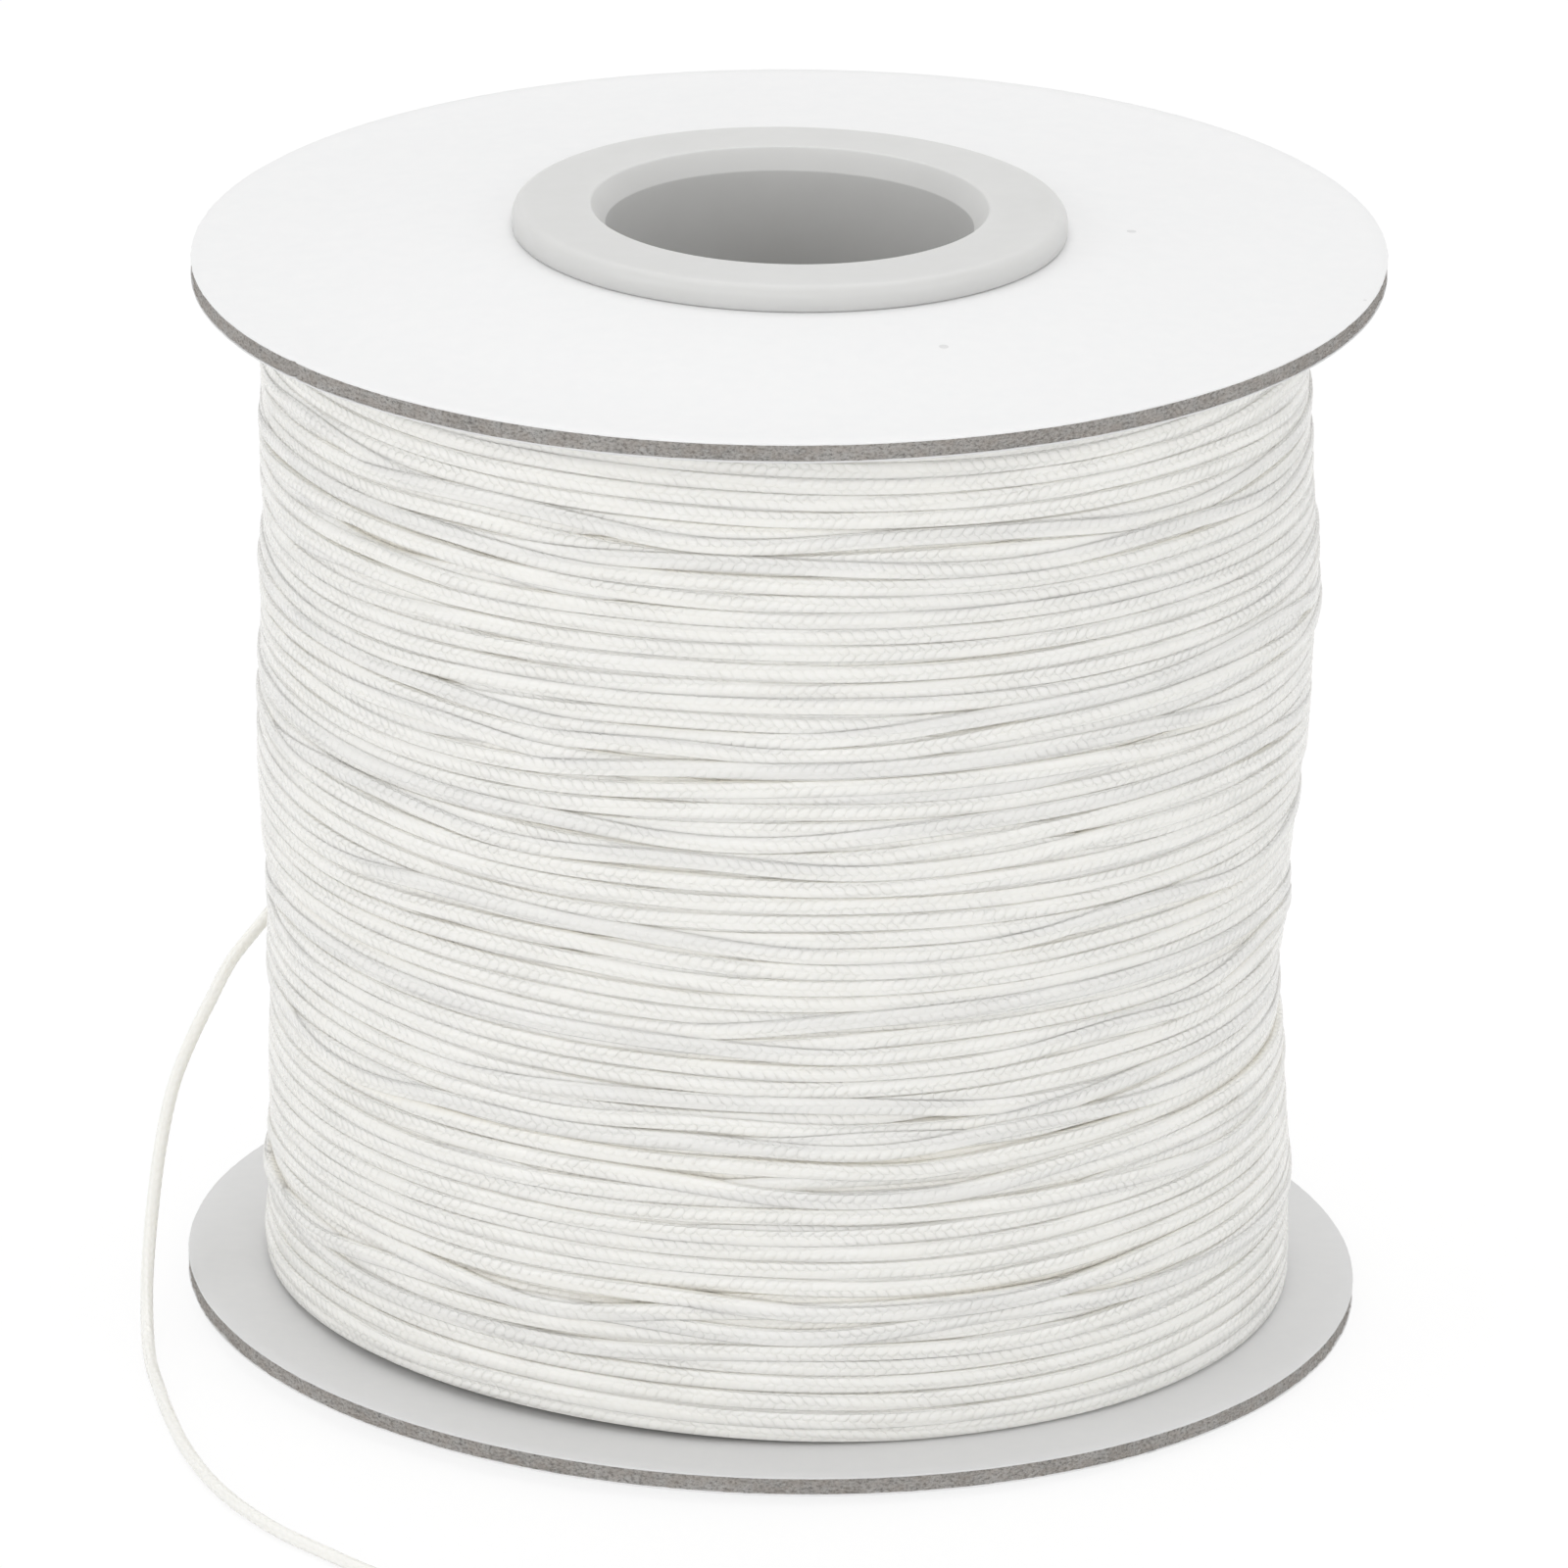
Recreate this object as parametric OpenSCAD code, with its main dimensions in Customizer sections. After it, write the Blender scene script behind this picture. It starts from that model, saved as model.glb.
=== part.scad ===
// Reel of waxed braided thread: two paper-faced board flanges clamped on a paperboard tube by two
// flanged plastic bushes, the thread wound between them, and its free end lying on the table.
// Millimetres. The reel stands upright, with its axis on Z and the bottom bush's rim at z = 0.

/* [Reel] */
// Diameter of both flanges
flange_d = 75; // [62:0.5:120]
// Clear width between the flanges, which the thread fills
thread_w = 66.7; // [36:0.1:120]

/* [Flange] */
// Thickness of the grey board
board_t = 1.0; // [0.6:0.05:3]
// Thickness of the white paper on each face of the board
paper_t = 0.14; // [0.08:0.01:0.4]

/* [Bush] */
// Diameter of the bore, which a spindle passes through
bore_d = 23.1; // [10:0.1:25]
// Wall of the neck inside the tube
neck_wall = 1.5; // [0.8:0.1:2.5]
// Length of the neck, from the seat of the rim down
neck_len = 15; // [5:0.5:17]
// Bevel on the neck's lower outer edge, which leads it into the tube
neck_bevel = 0.6; // [0.2:0.1:0.7]
// Diameter of the rim
rim_d = 34.8; // [32:0.1:50]
// Height of the rim above the flange
rim_h = 1.65; // [1.4:0.05:4]
// Radius of the rim's outer upper edge
rim_round = 0.8; // [0.2:0.1:1.3]
// Width of the bevel at the bore's mouth
mouth_w = 0.85; // [0.2:0.05:1.5]
// Depth of the bevel at the bore's mouth
mouth_h = 1.3; // [0.3:0.05:1.35]
// Gap round the neck where it is pressed into the tube and the flange
neck_gap = 0.05; // [0:0.01:0.3]

/* [Tube] */
// Wall of the paperboard tube
tube_wall = 3.9; // [1:0.1:5]

/* [Thread] */
// Diameter of the thread
thread_d = 1.0; // [0.6:0.05:1.4]
// Depth from the flange's edge to the thread, at the bottom flange
depth_low = 4.7; // [2:0.1:7]
// Depth from the flange's edge to the thread, at its slimmest below the middle
depth_mid = 5.1; // [2:0.1:7]
// Depth from the flange's edge to the thread, at its fullest above the middle
depth_full = 3.9; // [2:0.1:7]
// Depth from the flange's edge to the thread, at the top flange
depth_top = 4.3; // [2:0.1:7]

/* [Tape] */
// Width of the tape on the tube, along the reel's axis
tape_w = 18; // [8:1:30]
// Angle that the tape covers round the tube, in degrees
tape_angle = 80; // [30:5:180]
// Thickness of the tape
tape_t = 0.1; // [0.05:0.01:0.3]

/* [Hidden] */
$fn = 96;

flange_t = board_t + 2 * paper_t;
neck_r = bore_d / 2 + neck_wall;
hole_r = neck_r + neck_gap;
tube_r = hole_r + tube_wall;
z_bottom = rim_h;                       // underside of the bottom flange
z_thread = z_bottom + flange_t;         // where the thread starts
z_thread_top = z_thread + thread_w;     // where it ends
reel_h = z_thread_top + flange_t + rim_h;

// Heights on the winding, as shares of its width, and the depth below the flange's edge at each.
winding_marks = [[0, depth_low], [0.33, depth_mid], [0.72, depth_full], [1, depth_top]];
winding_steps = 20;

// The free end's route, from inside the winding's left side down to the table and along it.
free_end = [
    [-28.8, 15.8, 22.4], [-31.5, 12.0, 21.9], [-33.5, 8.0, 20.7], [-35.1, 5.4, 19.3],
    [-36.3, 3.0, 17.5], [-37.5, 0.8, 15.4], [-38.5, -1.2, 13.0], [-39.2, -3.5, 9.7],
    [-39.6, -6.3, 6.0], [-39.7, -9.6, 3.2], [-39.5, -13.2, 1.4], [-39.1, -17.0, 0.6],
    [-38.4, -21.0, 0.5], [-37.5, -25.6, 0.5], [-36.4, -30.2, 0.5], [-34.9, -34.8, 0.5],
    [-32.8, -39.4, 0.5], [-29.9, -43.8, 0.5], [-26.8, -47.2, 0.5], [-23.6, -50.4, 0.5],
    [-19.1, -54.0, 0.5], [-13.6, -57.0, 0.5], [-7.6, -59.0, 0.5], [-1.1, -60.0, 0.5],
    [5.4, -60.0, 0.5]];
free_end_sides = 8;
steps_per_point = 2;

// --- Curves ---------------------------------------------------------------------------------------

function unit(v) = v / norm(v);

// A share from 0 to 1 that starts and ends level.
function ease(t) = t * t * (3 - 2 * t);

// Depth below the flange's edge at share s of the winding's width.
function winding_depth(s) =
    let (i = s < winding_marks[1][0] ? 0 : s < winding_marks[2][0] ? 1 : 2,
         a = winding_marks[i],
         b = winding_marks[i + 1])
    a[1] + (b[1] - a[1]) * ease((s - a[0]) / (b[0] - a[0]));

// A point on the smooth curve through list p, at t from 0 to 1 between points i and i + 1.
function curve_point(p, i, t) =
    let (last = len(p) - 1,
         a = p[max(i - 1, 0)],
         b = p[i],
         c = p[min(i + 1, last)],
         d = p[min(i + 2, last)])
    (2 * b + (c - a) * t + (2 * a - 5 * b + 4 * c - d) * t * t + (3 * b - a - 3 * c + d) * t * t * t) / 2;

// The curve's points, none of them lower than the thread lies on the table.
function curve_points(p, steps) = [
    for (i = [0:len(p) - 2], k = [0:steps - 1])
        let (q = curve_point(p, i, k / steps)) [q.x, q.y, max(q.z, thread_d / 2)],
    p[len(p) - 1]];

// Sides corners of a ring round point i of path p, square to the path.
function ring(p, i, r, sides) =
    let (along = unit(p[min(i + 1, len(p) - 1)] - p[max(i - 1, 0)]),
         across = unit(cross(along, [0, 0, 1])),
         over = cross(across, along))
    [for (k = [0:sides - 1]) let (a = 360 * k / sides) p[i] + r * (cos(a) * across + sin(a) * over)];

// --- Shapes ---------------------------------------------------------------------------------------

// A flat disc with the neck's hole in it, from z up.
module flange_disc(z, t) {
    translate([0, 0, z])
        difference() {
            cylinder(d = flange_d, h = t);
            translate([0, 0, -1]) cylinder(r = hole_r, h = t + 2);
        }
}

// A bush seated at z = 0: the rim stands up from there and the neck hangs down.
module bush() {
    rotate_extrude()
        difference() {
            union() {
                translate([0, -neck_len]) square([neck_r - neck_bevel, neck_len]);
                translate([0, neck_bevel - neck_len]) square([neck_r, neck_len - neck_bevel + rim_h / 2]);
                translate([neck_r - neck_bevel, neck_bevel - neck_len])
                    polygon([[0, 0], [0, -neck_bevel], [neck_bevel, 0]]);
                square([rim_d / 2, rim_h - rim_round]);
                square([rim_d / 2 - rim_round, rim_h]);
                translate([rim_d / 2 - rim_round, rim_h - rim_round]) circle(r = rim_round);
            }
            translate([-rim_d, -neck_len - 1]) square([rim_d + bore_d / 2, neck_len + rim_h + 2]);
            polygon([[0, rim_h - mouth_h], [bore_d / 2, rim_h - mouth_h],
                     [bore_d / 2 + mouth_w, rim_h], [0, rim_h]]);
        }
}

// The tape's shape: part of a thin ring round the tube, from radius r to r + t, halfway along it.
module tape_ring(r, t) {
    translate([0, 0, z_thread + thread_w / 2 - tape_w / 2])
        rotate([0, 0, -tape_angle / 2])
            rotate_extrude(angle = tape_angle)
                translate([r, 0]) square([t, tape_w]);
}

// --- Nodes ----------------------------------------------------------------------------------------

module bottom_hub() {
    color([0.86, 0.86, 0.85]) translate([0, 0, z_bottom]) mirror([0, 0, 1]) bush();
}

module bottom_flange_outer_paper() {
    color([0.95, 0.95, 0.94]) flange_disc(z_bottom, paper_t);
}

module bottom_flange_board() {
    color([0.6, 0.58, 0.55]) flange_disc(z_bottom + paper_t, board_t);
}

module bottom_flange_inner_paper() {
    color([0.95, 0.95, 0.94]) flange_disc(z_bottom + paper_t + board_t, paper_t);
}

module core_tube() {
    color([0.62, 0.53, 0.42])
        translate([0, 0, z_thread])
            difference() {
                cylinder(r = tube_r, h = thread_w);
                translate([0, 0, -1]) cylinder(r = hole_r, h = thread_w + 2);
            }
}

module start_tape() {
    color([0.9, 0.87, 0.78]) tape_ring(tube_r, tape_t);
}

module thread_winding() {
    color([0.88, 0.87, 0.84])
        difference() {
            rotate_extrude()
                polygon([
                    [tube_r, z_thread],
                    for (i = [0:winding_steps])
                        let (s = i / winding_steps)
                            [flange_d / 2 - winding_depth(s), z_thread + s * thread_w],
                    [tube_r, z_thread_top]]);
            tape_ring(tube_r - tape_t, 2 * tape_t);
        }
}

module top_flange_inner_paper() {
    color([0.95, 0.95, 0.94]) flange_disc(z_thread_top, paper_t);
}

module top_flange_board() {
    color([0.6, 0.58, 0.55]) flange_disc(z_thread_top + paper_t, board_t);
}

module top_flange_outer_paper() {
    color([0.95, 0.95, 0.94]) flange_disc(z_thread_top + paper_t + board_t, paper_t);
}

module top_hub() {
    color([0.86, 0.86, 0.85]) translate([0, 0, reel_h - rim_h]) bush();
}

module thread_tail() {
    path = curve_points(free_end, steps_per_point);
    n = len(path);
    m = free_end_sides;
    color([0.88, 0.87, 0.84])
        polyhedron(
            points = [for (i = [0:n - 1]) each ring(path, i, thread_d / 2, m)],
            faces = [
                [for (k = [0:m - 1]) m - 1 - k],
                for (i = [0:n - 2], k = [0:m - 1])
                    let (a = i * m + k, b = i * m + (k + 1) % m)
                        [a, b, b + m, a + m],
                [for (k = [0:m - 1]) (n - 1) * m + k]]);
}

bottom_hub();
bottom_flange_outer_paper();
bottom_flange_board();
bottom_flange_inner_paper();
core_tube();
start_tape();
thread_winding();
top_flange_inner_paper();
top_flange_board();
top_flange_outer_paper();
top_hub();
thread_tail();
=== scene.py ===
"""The looks of a reel of waxed braided thread, made around its packed construction.

Everything is in metres, in the reel's own frame: its axis is Z and it stands on z = 0. The thread is
laid on the tube turn by turn, as a winding machine lays it, and its free end falls to the table.
"""

import math

import bpy
import numpy as np
from mathutils import Matrix, Vector


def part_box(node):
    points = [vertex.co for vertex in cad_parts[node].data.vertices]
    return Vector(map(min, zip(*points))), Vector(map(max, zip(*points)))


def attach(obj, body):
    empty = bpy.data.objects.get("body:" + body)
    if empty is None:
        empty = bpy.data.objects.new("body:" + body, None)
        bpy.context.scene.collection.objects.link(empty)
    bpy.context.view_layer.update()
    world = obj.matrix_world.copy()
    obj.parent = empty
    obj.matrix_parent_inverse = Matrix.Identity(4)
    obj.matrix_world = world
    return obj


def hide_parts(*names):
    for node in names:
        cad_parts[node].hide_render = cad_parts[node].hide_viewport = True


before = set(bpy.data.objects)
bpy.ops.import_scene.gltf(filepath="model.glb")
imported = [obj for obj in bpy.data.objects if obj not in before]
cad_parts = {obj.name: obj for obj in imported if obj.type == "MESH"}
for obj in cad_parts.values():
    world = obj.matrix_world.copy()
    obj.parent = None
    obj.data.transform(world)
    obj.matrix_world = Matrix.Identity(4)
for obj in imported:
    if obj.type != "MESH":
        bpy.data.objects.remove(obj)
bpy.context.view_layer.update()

MM = 0.001

# --- Sizes that come from the frame ------------------------------------------------------------------

FLANGE_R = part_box("top_flange_board")[1].x
RIM_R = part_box("top_hub")[1].x
REEL_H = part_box("top_hub")[1].z
RIM_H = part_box("bottom_flange_outer_paper")[0].z
TUBE_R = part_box("core_tube")[1].x
THREAD_Z0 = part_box("thread_winding")[0].z
THREAD_Z1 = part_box("thread_winding")[1].z

# --- Sizes of what the frame doesn't say -------------------------------------------------------------

# The bushes' bore and neck, the hole that the neck goes into, and the bevel of the mouth.
BORE_R = 11.55 * MM
NECK_R = 13.05 * MM
HOLE_R = 13.1 * MM
NECK_LEN = 15 * MM
MOUTH_W = 0.85 * MM
MOUTH_H = 1.3 * MM

# Half the width and half the height of a wound turn, which tension presses slightly flat, how square
# its outline is, and how far apart turns are laid.
TURN_WIDE = 0.55 * MM
TURN_HIGH = 0.40 * MM
TURN_SQUARENESS = 4.6
TURN_PITCH = 0.99 * MM
# Half the thickness of the free end, which nothing presses.
THREAD_R = 0.42 * MM
# How far tension presses a turn into the turns that it crosses.
PRESSED_IN = 0.62 * MM
# How many millimetres a turn may slip sideways from its aim, looking for a hollow, and how strongly it
# holds back.
SLIP_MM = 1.4
SLIP_COST = 100
# The hidden turns lie looser: the distance between them in a layer, and from one layer to the next.
HIDDEN_PITCH = 1.05 * MM
HIDDEN_LAYER = 1.0 * MM
# Where the outer and the hidden turns lie, near enough to say how far the warped flanges let them go.
OUTER_TURN_R = 31 * MM
HIDDEN_TURN_R = 22 * MM

# The free end's route, the same as in the CAD source, in millimetres.
FREE_END_MM = [
    (-28.8, 15.8, 22.4), (-31.5, 12.0, 21.9), (-33.5, 8.0, 20.7), (-35.1, 5.4, 19.3),
    (-36.3, 3.0, 17.5), (-37.5, 0.8, 15.4), (-38.5, -1.2, 13.0), (-39.2, -3.5, 9.7),
    (-39.6, -6.3, 6.0), (-39.7, -9.6, 3.2), (-39.5, -13.2, 1.4), (-39.1, -17.0, 0.6),
    (-38.4, -21.0, 0.5), (-37.5, -25.6, 0.5), (-36.4, -30.2, 0.5), (-34.9, -34.8, 0.5),
    (-32.8, -39.4, 0.5), (-29.9, -43.8, 0.5), (-26.8, -47.2, 0.5), (-23.6, -50.4, 0.5),
    (-19.1, -54.0, 0.5), (-13.6, -57.0, 0.5), (-7.6, -59.0, 0.5), (-1.1, -60.0, 0.5),
    (5.4, -60.0, 0.5)]

# How far the winding reaches from the axis at each height, on its left side and on its right, in
# millimetres: it is fullest in its upper half, and a little slack below the middle.
FULLNESS_MM = [
    (3, 32.6, 33.2), (10, 32.4, 33.2), (17, 32.5, 32.6), (24, 32.6, 32.1), (31, 32.8, 32.8),
    (40, 33.3, 33.6), (50, 33.1, 33.9), (60, 33.1, 33.0), (69, 33.0, 33.0)]

# Where a small chip is missing from the top flange's edge.
CHIP_ANGLE = math.radians(216.4)

# How the card flanges have warped: the rise of the whole edge in metres, and its rise for each metre
# towards +X and +Y.
TOP_WARP = (-1.24 * MM, 0.0148, 0.0158)
BOTTOM_WARP = (-1.01 * MM, -0.0113, -0.0019)

# The length of one step of the braid, and the columns of strands round the thread.
BRAID_PITCH = 0.72 * MM
BRAID_COLUMNS = 6


# --- Camera --------------------------------------------------------------------------------------------

def make_camera():
    """A long lens in front of the reel and 20 degrees above it, turned very slightly clockwise."""
    aim = Vector((0.28, 0, 34.01)) * MM
    distance = 825 * MM
    elevation = math.radians(19.67)
    back = Vector((0, -math.cos(elevation), math.sin(elevation)))
    data = bpy.data.cameras.new("camera")
    data.lens = 297.87
    data.sensor_width = 36
    data.clip_start = 0.05
    data.clip_end = 20
    camera = bpy.data.objects.new("camera", data)
    bpy.context.scene.collection.objects.link(camera)
    camera.matrix_world = (
        Matrix.Translation(aim + back * distance)
        @ (-back).to_track_quat("-Z", "Y").to_matrix().to_4x4()
        @ Matrix.Rotation(0.0183, 4, "Z"))
    bpy.context.scene.camera = camera


# --- Number work ---------------------------------------------------------------------------------------

def ease(t):
    """3 t squared minus 2 t cubed, for t held between 0 and 1: a share that starts and ends level."""
    t = np.clip(t, 0, 1)
    return t * t * (3 - 2 * t)


def smooth_round(values, spread):
    """A closed row, or rows, of values blurred by a bell curve `spread` steps wide. In waves, each one of
    frequency f is cut by exp(-2 (pi f spread)^2)."""
    steps = values.shape[-1]
    waves = np.fft.rfftfreq(steps)
    cut = np.exp(-2 * (np.pi * waves * spread) ** 2)
    return np.fft.irfft(np.fft.rfft(values, axis=-1) * cut, steps, axis=-1)


def soft_noise(rng, rows, columns, row_spread, column_spread):
    """Random numbers on a grid, blurred along both ways and scaled to a spread of 1. Both ways close."""
    field = smooth_round(rng.standard_normal((rows, columns)), column_spread)
    field = smooth_round(field.T, row_spread).T
    return field / field.std()


def slow_waves(rng, turns, waves):
    """A sum of sines of the number of turns wound. Each entry of waves is (size, waves in a turn, spread).
    A small spread about a whole number of waves keeps neighbouring turns alike for a while."""
    total = np.zeros(turns.size)
    count = 24
    for size, middle, spread in waves:
        frequencies = middle + spread * rng.standard_normal(count)
        for frequency, start in zip(frequencies, rng.uniform(0, 2 * np.pi, count)):
            total += size * math.sqrt(2 / count) * np.sin(2 * np.pi * frequency * turns + start)
    return total


def curve_through(points, step):
    """The Catmull-Rom curve through the points, then read off at equal steps of its own length."""
    p = np.asarray(points, float)
    padded = np.vstack([p[:1], p, p[-1:]])
    a, b, c, d = (padded[i:len(p) - 1 + i, None] for i in range(4))
    t = np.linspace(0, 1, 40, endpoint=False)[None, :, None]
    curve = (2 * b + (c - a) * t + (2 * a - 5 * b + 4 * c - d) * t ** 2
             + (3 * b - a - 3 * c + d) * t ** 3) / 2
    curve = np.vstack([curve.reshape(-1, 3), p[-1:]])
    run = np.concatenate([[0], np.cumsum(np.linalg.norm(np.diff(curve, axis=0), axis=1))])
    places = np.linspace(0, run[-1], int(round(run[-1] / step)) + 1)
    return np.stack([np.interp(places, run, curve[:, i]) for i in range(3)], axis=1)


# --- Meshes --------------------------------------------------------------------------------------------

def grid_faces(rows, columns, close_rows=False, close_columns=True):
    """Corner numbers of the four-sided faces of a grid of rows x columns points, and where each corner
    lies as (row, column), counted on past the last where the grid closes on itself."""
    r = np.arange(rows if close_rows else rows - 1)[:, None, None]
    c = np.arange(columns if close_columns else columns - 1)[None, :, None]
    row = r + np.array([0, 0, 1, 1])
    column = c + np.array([0, 1, 1, 0])
    row, column = np.broadcast_arrays(row, column)
    corners = (row % rows) * columns + column % columns
    return corners.reshape(-1, 4), row.reshape(-1, 4), column.reshape(-1, 4)


def make_piece(name, points, quads, caps=(), uv=None, depth=None, crease=None):
    """A mesh object from arrays: points, four-sided faces, and round end caps. It is turned inside out if
    the volume that its faces enclose comes out negative."""
    a, b, c, d = (points[quads[:, i]] for i in range(4))
    enclosed = (np.einsum("ij,ij->i", a, np.cross(b, c)) + np.einsum("ij,ij->i", a, np.cross(c, d))).sum()
    if enclosed < 0:
        quads = quads[:, ::-1]
        uv = None if uv is None else uv[:, ::-1]
        caps = [cap[::-1] for cap in caps]
    corners = np.concatenate([quads.ravel(), *caps]).astype(np.int32)
    counts = np.concatenate([np.full(len(quads), 4), [len(cap) for cap in caps]]).astype(np.int64)
    mesh = bpy.data.meshes.new(name)
    mesh.vertices.add(len(points))
    mesh.vertices.foreach_set("co", points.astype(np.float32).ravel())
    mesh.loops.add(len(corners))
    mesh.loops.foreach_set("vertex_index", corners)
    mesh.polygons.add(len(counts))
    mesh.polygons.foreach_set("loop_start", (np.cumsum(counts) - counts).astype(np.int32))
    mesh.polygons.foreach_set("use_smooth", np.ones(len(counts), bool))
    if uv is not None:
        layer = mesh.uv_layers.new(name="along_around")
        flat = np.zeros((len(corners), 2), np.float32)
        flat[:quads.size] = uv.reshape(-1, 2)
        layer.data.foreach_set("uv", flat.ravel())
    if depth is not None:
        layer = mesh.attributes.new("depth", "FLOAT", "POINT")
        layer.data.foreach_set("value", depth.astype(np.float32).ravel())
    mesh.update(calc_edges=True)
    mesh.validate()
    if crease is not None:
        mesh.set_sharp_from_angle(angle=math.radians(crease))
    piece = bpy.data.objects.new(name, mesh)
    bpy.context.scene.collection.objects.link(piece)
    return piece


def finish_piece(piece, material, slot, *nodes):
    """The piece gets its material, rides on the reel and stands for the CAD nodes named."""
    piece.data.materials.append(material)
    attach(piece, "root")
    if nodes:
        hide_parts(*nodes)
    return piece


def flange_warp(x, y, warp):
    """How far a flange has warped up at (x, y): a dish and a tilt, times a share that grows from nothing
    at the bush's rim to the whole at the flange's edge."""
    share = ease((np.hypot(x, y) - RIM_R) / (FLANGE_R - RIM_R))
    return (warp[0] + warp[1] * x + warp[2] * y) * share


def lathe(name, profile, columns, relief=None, warp=None, crease=35):
    """A closed profile of (radius, height) carried round the axis. relief(angle) says how far outwards and
    up each point moves, and warp bends it as a flange is warped. Its UV is the distance round and the
    distance along the profile."""
    profile = np.asarray(profile, float)
    rows = len(profile)
    angle = np.arange(columns) * 2 * np.pi / columns
    radius = np.repeat(profile[:, :1], columns, axis=1)
    height = np.repeat(profile[:, 1:], columns, axis=1)
    if relief is not None:
        out, up = relief(angle)
        radius = radius + out
        height = height + up
    x = radius * np.cos(angle)
    y = radius * np.sin(angle)
    if warp is not None:
        height = height + flange_warp(x, y, warp)
    points = np.stack([x, y, height], axis=2).reshape(-1, 3)
    quads, row, column = grid_faces(rows, columns, close_rows=True)
    ring = np.vstack([profile, profile[:1]])
    run = np.concatenate([[0], np.cumsum(np.linalg.norm(np.diff(ring, axis=0), axis=1))])
    uv = np.stack([column * 2 * np.pi / columns * profile[:, 0].max(), run[row]], axis=2)
    return make_piece(name, points, quads, uv=uv, crease=crease)


def arc(centre, radius, start, end, count):
    """Points on a round corner from one angle to another, in degrees."""
    a = np.radians(np.linspace(start, end, count))
    return [(centre[0] + radius * math.cos(t), centre[1] + radius * math.sin(t)) for t in a]


# --- Laying the thread ---------------------------------------------------------------------------------

# The winding's outside is kept as a height map: columns round the axis, and steps up it.
COLUMNS = 240
HEIGHT_STEP = 0.05 * MM
REACH = int(np.ceil(TURN_WIDE / HEIGHT_STEP))
MARGIN = REACH + 12
END_ANGLE = math.atan2(FREE_END_MM[0][1], FREE_END_MM[0][0])
END_RADIUS = math.hypot(FREE_END_MM[0][0], FREE_END_MM[0][1]) * MM
END_Z = FREE_END_MM[0][2] * MM
COLUMN_ANGLE = END_ANGLE + np.arange(COLUMNS) * 2 * np.pi / COLUMNS
# The guide's way between the flanges, and how far up it the free end starts.
TRAVEL = THREAD_Z1 - THREAD_Z0 - 2 * TURN_WIDE
END_SHARE = (END_Z - THREAD_Z0 - TURN_WIDE) / TRAVEL
LAID_LAYERS = 2
# Rings in a turn and corners in a ring: for each laid layer from the last one inwards, and for the rest.
RINGS_AND_SIDES = [(145, 10), (145, 10), (120, 8)]
HIDDEN_RINGS_AND_SIDES = (40, 5)
# The guide's unsteadiness, as slow_waves reads it.
GUIDE_WAVES = [(0.35 * MM, 0, 0.08), (0.32 * MM, 1, 0.05), (0.1 * MM, 2, 0.06), (0.03 * MM, 3, 0.06)]


def turn_arch(across):
    """Height of a wound turn's outline above its middle, at a distance across it: a flattened oval."""
    share = np.clip(1 - np.abs(across / TURN_WIDE) ** TURN_SQUARENESS, 0, 1)
    return TURN_HIGH * share ** (1 / TURN_SQUARENESS)


def fullness(height, angle):
    """The winding's outer radius at a height and an angle round the axis, blended from left to right."""
    marks = np.array(FULLNESS_MM) * MM
    left = np.interp(height, marks[:, 0], marks[:, 1])
    right = np.interp(height, marks[:, 0], marks[:, 2])
    return (left + right) / 2 + (right - left) / 2 * np.cos(angle)


def side_limits(angle, radius):
    """The lowest and highest place of a turn's middle between the two warped flanges."""
    x, y = radius * np.cos(angle), radius * np.sin(angle)
    low = THREAD_Z0 + TURN_WIDE + flange_warp(x, y, BOTTOM_WARP)
    high = THREAD_Z1 - TURN_WIDE + flange_warp(x, y, TOP_WARP)
    return low, high


def traverse(turns_left):
    """Where the winder's guide stands, from 0 at the bottom flange to 1 at the top, when that many turns
    are still to come. It goes up and down steadily, and comes down to the free end last."""
    phase = (END_SHARE + turns_left * TURN_PITCH / TRAVEL) % 2
    return np.where(phase < 1, phase, 2 - phase)


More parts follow.
